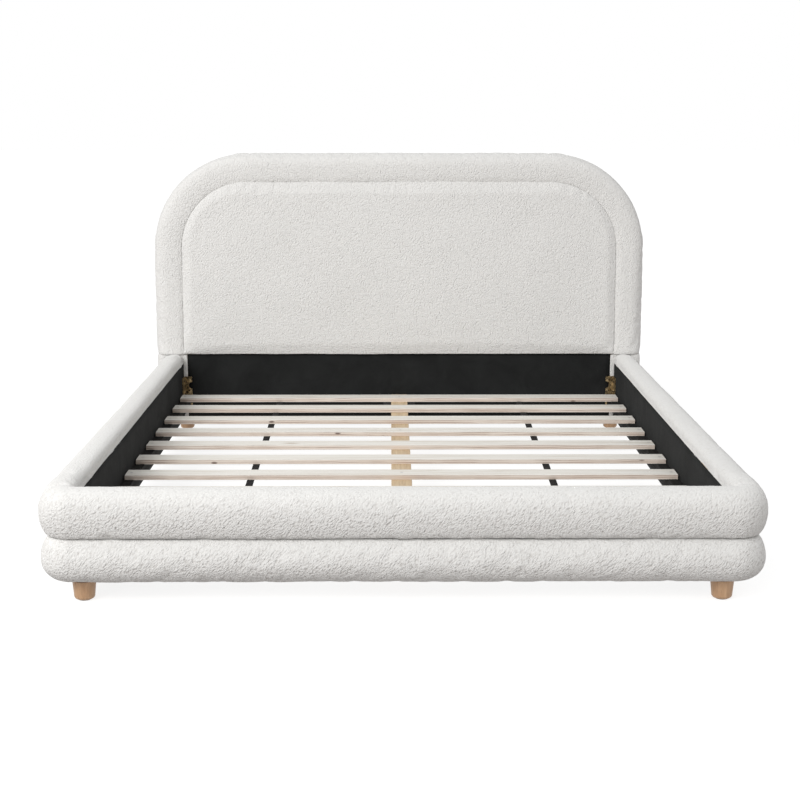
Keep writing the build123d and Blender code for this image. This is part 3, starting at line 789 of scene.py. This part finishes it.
def plain_wood(name, dark, light, along, roughness=0.5, size=38, shine=0.5):
    """Solid wood with its figure along one axis, pores and a little colour drift."""
    paint = Paint(name, Roughness=roughness)
    paint.shader.inputs["Specular IOR Level"].default_value = shine
    figure, fine = grain(paint, along, size, 2.2)
    middle = tuple((a + b) / 2 for a, b in zip(dark, light))
    tone = paint.ramp(figure, (0.28, dark), (0.52, middle), (0.74, light))
    pores = paint.ramp(fine, (0.30, 0.72), (0.48, 1.0))
    paint.colour(paint.mix(0.7, tone, pores, "MULTIPLY"))
    paint.rough(paint.ramp(figure, (0.2, roughness + 0.1), (0.8, roughness - 0.08)))
    paint.bump(fine, 0.3 * MM, 0.5)
    return paint.material


def plated_steel(name, dark, light, roughness, size=45):
    """Plated or plain steel with cloudy colour, rolling marks and spots of wear. Where the clouds run from near
    black to pale, they are partly painted reflection and highlight.
    """
    paint = Paint(name, Metallic=1.0, Roughness=roughness)
    clouds = paint.noise(size, 4.0, 0.6, 0.8)
    marks = paint.noise(300, 2.0, 0.6, 0.0, paint.stretched((1, 1, 16)))
    paint.colour(paint.ramp(clouds, (0.38, dark), (0.66, light)))
    dull = paint.math("ADD", clouds, paint.math("MULTIPLY", marks, 0.4))
    paint.rough(paint.ramp(dull, (0.4, roughness - 0.1), (1.0, roughness + 0.2)))
    paint.bump(marks, 0.1 * MM, 0.4)
    return paint.material


def coated_steel(name):
    """Black enamel with a slight orange peel and a few chips."""
    paint = Paint(name, Metallic=0.0, Roughness=0.45)
    orange_peel = paint.noise(350, 2.0, 0.5)
    chips = paint.noise(60, 4.0, 0.7)
    paint.colour(paint.ramp(chips, (0.66, (0.012, 0.012, 0.013)), (0.74, (0.06, 0.058, 0.055))))
    paint.bump(orange_peel, 0.15 * MM, 0.5)
    return paint.material


def felt(name):
    """Brown pressed felt."""
    paint = Paint(name, Roughness=1.0, Sheen_Weight=0.4)
    fibres = paint.noise(700, 4.0, 0.75, 1.0)
    paint.colour(paint.ramp(fibres, (0.3, (0.10, 0.085, 0.07)), (0.7, (0.26, 0.23, 0.20))))
    paint.bump(fibres, 0.5 * MM, 0.8)
    return paint.material


# ---- camera, light and floor ----
CAMERA_PLACE = (-0.0305, -4.7915, 1.1523)
CAMERA_DOWN = 10.136
CAMERA_TURN = -0.334
CAMERA_LENS = 73.67
SKY = (0.605, 0.605, 0.605)
GROUND = (0.475, 0.452, 0.44)
FRONT_LIGHT = 0.965
BACK_LIGHT = 0.30
KEY_POWER = 62
SIDE_POWER = 21


def make_camera():
    data = bpy.data.cameras.new("camera")
    data.lens = CAMERA_LENS
    data.sensor_width = 36
    camera = bpy.data.objects.new("camera", data)
    camera.location = CAMERA_PLACE
    camera.rotation_euler = (math.radians(90 - CAMERA_DOWN), 0, math.radians(CAMERA_TURN))
    bpy.context.scene.collection.objects.link(camera)
    bpy.context.scene.camera = camera


def make_area(name, place, target, size, power, colour):
    """A round soft lamp that looks at target."""
    data = bpy.data.lights.new(name, "AREA")
    data.shape = "DISK"
    data.size = size
    data.energy = power
    data.color = colour
    lamp = bpy.data.objects.new(name, data)
    lamp.location = place
    lamp.rotation_euler = (Vector(target) - Vector(place)).to_track_quat("-Z", "Y").to_euler()
    bpy.context.scene.collection.objects.link(lamp)


def make_world():
    """An even soft box above, a dimmer warm bounce from below, and plain white past the floor's edge."""
    world = bpy.data.worlds.new("studio")
    world.use_nodes = True
    tree = world.node_tree
    place = tree.nodes.new("ShaderNodeTexCoord")
    split = tree.nodes.new("ShaderNodeSeparateXYZ")
    height = tree.nodes.new("ShaderNodeMapRange")
    height.inputs["From Min"].default_value = -0.25
    height.inputs["From Max"].default_value = 0.25
    glow = tree.nodes.new("ShaderNodeValToRGB")
    glow.color_ramp.elements[0].color = (*GROUND, 1)
    glow.color_ramp.elements[1].color = (*SKY, 1)
    seen = tree.nodes.new("ShaderNodeLightPath")
    mix = tree.nodes.new("ShaderNodeMix")
    mix.data_type = "RGBA"
    mix.inputs[7].default_value = (1, 1, 1, 1)
    background = tree.nodes["Background"]
    background.inputs["Strength"].default_value = 1.0
    tree.links.new(place.outputs["Generated"], split.inputs[0])
    tree.links.new(split.outputs[2], height.inputs["Value"])
    tree.links.new(height.outputs[0], glow.inputs[0])
    tree.links.new(glow.outputs[0], mix.inputs[6])
    tree.links.new(seen.outputs["Is Camera Ray"], mix.inputs[0])
    tree.links.new(mix.outputs[2], background.inputs["Color"])
    bpy.context.scene.world = world


def make_sun(name, direction, strength, angle):
    """A broad far light, angle degrees wide."""
    data = bpy.data.lights.new(name, "SUN")
    data.energy = strength
    data.angle = math.radians(angle)
    lamp = bpy.data.objects.new(name, data)
    lamp.rotation_euler = Vector(direction).to_track_quat("-Z", "Y").to_euler()
    bpy.context.scene.collection.objects.link(lamp)


def make_studio():
    bpy.context.scene.view_settings.view_transform = "Standard"
    make_world()
    make_sun("front", (0.45, 0.78, -0.50), FRONT_LIGHT, 35)
    make_sun("back", (-0.85, -0.45, -0.28), BACK_LIGHT, 60)
    make_area("key", (-2.4, -3.4, 2.6), (0, 0, 0.3), 1.6, KEY_POWER, (1.0, 0.99, 0.975))
    make_area("side", (-3.2, -0.6, 1.9), (0.2, 1.05, 0.65), 1.8, SIDE_POWER, (1.0, 0.995, 0.985))

    far = 40
    corners = [(-far, -far, 0), (far, -far, 0), (far, far, 0), (-far, far, 0)]
    floor = make_object("floor", corners, [(0, 1, 2, 3)])
    paint = Paint("floor_paint", Roughness=0.9)
    paint.colour(paint.ramp(paint.noise(0.8, 2.0), (0.0, 0.30), (1.0, 0.32)))
    paint.shader.inputs["Emission Color"].default_value = (1, 1, 1, 1)
    paint.shader.inputs["Emission Strength"].default_value = 0.80
    floor.data.materials.append(paint.material)
    floor.visible_diffuse = False


# ---- linings and straps ----
def rippled_sheet(name, columns, rows, place_of, outwards, thickness, ripple):
    """A thin closed sheet over a grid of columns and rows, rippled towards outwards."""
    points = []
    for row in rows:
        for column in columns:
            place = Vector(place_of(column, row))
            wave = 0.5 + 0.5 * wobble((column, row * 0.6, len(name)), 0.16, SEED)
            points.append(place + Vector(outwards) * (ripple * wave))
    obj = make_object(name, points, grid_faces(len(columns), len(rows)))
    solid = obj.modifiers.new("thickness", "SOLIDIFY")
    solid.thickness = thickness
    solid.offset = 0
    replace_mesh(obj, evaluated_copy(obj))
    return obj


def even(low, high, spacing):
    """Evenly spaced values from low to high."""
    count = max(2, round((high - low) / spacing))
    return [low + (high - low) * i / count for i in range(count + 1)]


def finish_sheet(obj, node, material):
    """Paint a stretched sheet, and let it stand for its CAD solid."""
    obj.data.materials.append(material)
    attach(obj, BODY)
    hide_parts(node)


LINING_GRID = 0.02
LINING_THICK = 0.6 * MM
LINING_RIPPLE = 1.2 * MM
DUST_COVER_RIPPLE = 2.5 * MM
STRAP_THICK = 1.1 * MM
STRAP_RIPPLE = 0.5 * MM
STRAP_SAG = 2.2 * MM


def make_linings(material):
    for side, sign in (("left", -1), ("right", 1)):
        low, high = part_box(f"rail_lining_{side}")
        face_x = sign * (INNER_X + 0.5 * MM)
        obj = rippled_sheet(
            f"rail_inner_lining_{side}",
            even(low.y, high.y, LINING_GRID),
            even(low.z, high.z, LINING_GRID),
            lambda y, z, x=face_x: (x, y, z),
            (-sign, 0, 0),
            LINING_THICK,
            LINING_RIPPLE,
        )
        finish_sheet(obj, f"rail_lining_{side}", material)
    for node, name, outwards, board in (
        ("footboard_lining", "footboard_inner_lining", 1, "footboard_board"),
        ("headboard_lining", "headboard_lower_lining", -1, "headboard_panel"),
    ):
        low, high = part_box(node)
        face_y = (low.y + high.y) / 2
        obj = rippled_sheet(
            name,
            even(low.x, high.x, LINING_GRID),
            even(low.z, high.z, LINING_GRID),
            lambda x, z, y=face_y: (x, y, z),
            (0, outwards, 0),
            LINING_THICK,
            LINING_RIPPLE,
        )
        finish_sheet(obj, node, material)


def make_back_lining(material):
    """The dust cover on the headboard's back, in the arch's shape."""
    low, high = back_low, back_high
    radius = HEAD_RADIUS - (HALF_WIDTH - high.x)
    rows = even(low.z, high.z - radius, LINING_GRID)
    steps = round(radius * math.pi / 2 / LINING_GRID)
    rows += [high.z - radius + radius * math.sin(math.pi / 2 * i / steps) for i in range(1, steps + 1)]
    obj = rippled_sheet(
        "headboard_dust_cover",
        even(-1, 1, LINING_GRID / high.x),
        rows,
        lambda c, z: (c * arch_reach(z, high.x, high.z, radius), (low.y + high.y) / 2, z),
        (0, 1, 0),
        LINING_THICK,
        DUST_COVER_RIPPLE,
    )
    finish_sheet(
        obj, "headboard_back_lining", material
    )


def make_straps(material):
    """Webbing under the slats, which sags a little between them."""
    slats = [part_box(f"slat_{i:02d}") for i in range(1, 11)]
    for end, side in (("foot", "left"), ("foot", "right"), ("head", "left"), ("head", "right")):
        node = f"slat_strap_{end}_{side}"
        low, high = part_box(node)

        def strap_place(x, y):
            gap = min(max(s_low.y - y, y - s_high.y, 0) for s_low, s_high in slats)
            sag = STRAP_SAG * smooth_step(gap, 0, 0.06)
            return x, y, high.z - 0.5 * MM - sag

        obj = rippled_sheet(
            f"slat_webbing_{end}_{side}",
            even(low.x, high.x, 0.004),
            even(low.y, high.y, 0.008),
            strap_place,
            (0, 0, -1),
            STRAP_THICK,
            STRAP_RIPPLE,
        )
        finish_sheet(obj, node, material)


# ---- building everything ----
ROLL_SWELL = 4 * MM
BORDER_SWELL = 3 * MM


def make_rolls(material):
    """The two stacked rolls of each rail and of the footboard, with their share of spare cloth."""
    levels = (("upper", upper_section(), 0.02), ("lower", lower_section(), 0.008))
    for level, section, spare in levels:
        right = side_rail(f"rail_{level}_cover_right", section)
        face_outwards(right)
        inflate(right, lambda p: not_bulging(abs(p[0]) - INNER_X, p[2]), ROLL_SWELL, spare)
        left = mirrored(right, f"rail_{level}_cover_left")
        foot = footboard_roll(f"footboard_{level}_cover", section)
        merge_doubles(foot)
        face_outwards(foot)
        inflate(foot, lambda p: not_bulging(foot_depth(p), p[2]), ROLL_SWELL, spare)
        finish_soft(right, f"rail_{level}_roll_right", material, 11)
        finish_soft(left, f"rail_{level}_roll_left", material, 23)
        finish_soft(foot, f"footboard_{level}_roll", material, 37)


def foot_depth(p):
    """How far a footboard point lies outside the inner rectangle of the bed."""
    over_x = max(abs(p[0]) - INNER_X, 0)
    over_y = max(FOOT_Y - p[1], 0)
    return math.hypot(over_x, over_y)


def not_bulging(depth, z):
    """True where a roll's cover is held by the boards or the seam."""
    in_pocket = depth < POCKET + 2 * MM and z < LINING_TOP + 2 * MM
    at_seam = abs(z - ROLL_SEAM) < 4 * MM
    return in_pocket or at_seam


def border_held(p):
    """True where the border's cover is held behind the panel's face, away from its outer edge."""
    behind = p[1] > panel_low.y - 2 * MM
    return behind and abs(p[0]) < HALF_WIDTH - 4 * MM and p[2] < HEAD_TOP - 4 * MM


def cushion_held(p):
    return p[1] > HEAD_Y + SEAM_DEPTH - 1 * MM


def make_headboard(material):
    fine_nub = 0.2 * MM
    border = make_border()
    face_outwards(border)
    inflate(border, border_held, BORDER_SWELL)
    finish_soft(border, "headboard_border_roll", material, 41, nub=fine_nub, levels=1)
    cushion = make_cushion()
    face_outwards(cushion)
    inflate(cushion, cushion_held, ROLL_SWELL, spare=0.005)
    finish_soft(cushion, "headboard_cushion", material, 53, lump=1.4 * MM, nub=fine_nub, levels=1)
    cover = make_side_cover()
    other = mirrored(cover, "side_cover_left")
    finish_soft(cover, "headboard_side_cover_right", material, 61, lump=0.6 * MM)
    finish_soft(other, "headboard_side_cover_left", material, 67, lump=0.6 * MM)


def paint_nodes(material, slot, *stems):
    """Give every CAD node whose name starts with one of the stems this material."""
    for name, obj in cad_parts.items():
        if name.startswith(stems):
            for used in obj.material_slots:
                used.material = material


make_camera()
make_studio()
boucle_roll = boucle("boucle_roll", **ROLL_CLOTH)
boucle_head = boucle("boucle_head", **HEAD_CLOTH)
lining_cloth = non_woven("lining_cloth")
make_rolls(boucle_roll)
make_headboard(boucle_head)
make_linings(lining_cloth)
make_back_lining(lining_cloth)
make_straps(webbing("strap_webbing"))

TAN, PALE_TAN = (0.41, 0.235, 0.125), (0.60, 0.385, 0.225)
paint_nodes(slat_wood("slat_laminate"), "slat_wood", "slat_0", "slat_1")
pine = plain_wood("beam_pine", (0.52, 0.37, 0.22), (0.70, 0.55, 0.36), (1, 20, 1))
paint_nodes(pine, "beam_wood", "centre_beam")
beech = plain_wood("foot_beech", TAN, PALE_TAN, (1, 1, 12), 0.42, 60)
paint_nodes(beech, "foot_wood", "foot_front", "foot_rear", "centre_leg")
plywood = plain_wood("frame_plywood", (0.50, 0.38, 0.25), (0.66, 0.53, 0.37), (14, 14, 1), 0.7)
paint_nodes(plywood, "frame_board", "rail_board", "footboard_board", "headboard_panel")
frame_pine = plain_wood("frame_pine", (0.46, 0.33, 0.20), (0.64, 0.50, 0.33), (16, 1, 1), 0.7)
paint_nodes(frame_pine, "frame_timber", "headboard_post", "headboard_crossbar", "foot_blocks")
stained = plain_wood("ledge_black", (0.010, 0.010, 0.010), (0.022, 0.021, 0.020), (1, 20, 1), 0.85, shine=0.1)
paint_nodes(stained, "ledge_wood", "rail_ledge")
# painted reflection: the bracket's colour clouds from near black to pale gold, partly the mottle of yellow zinc
# plating and partly painted dark reflections and highlights
yellow_zinc_and_painted_reflection = plated_steel("zinc_yellow_and_painted_reflection", (0.09, 0.07, 0.045), (0.62, 0.47, 0.26), 0.32, 110)
paint_nodes(yellow_zinc_and_painted_reflection, "zinc_steel", "corner_bracket", "bracket_bolts")
plain_zinc = plated_steel("zinc_plain", (0.50, 0.50, 0.50), (0.72, 0.72, 0.73), 0.35)
paint_nodes(plain_zinc, "screw_steel", "slat_screws", "hanger_bolts")
paint_nodes(coated_steel("black_enamel"), "black_steel", "beam_hanger")
paint_nodes(felt("pad_felt"), "felt", "glide_pads")
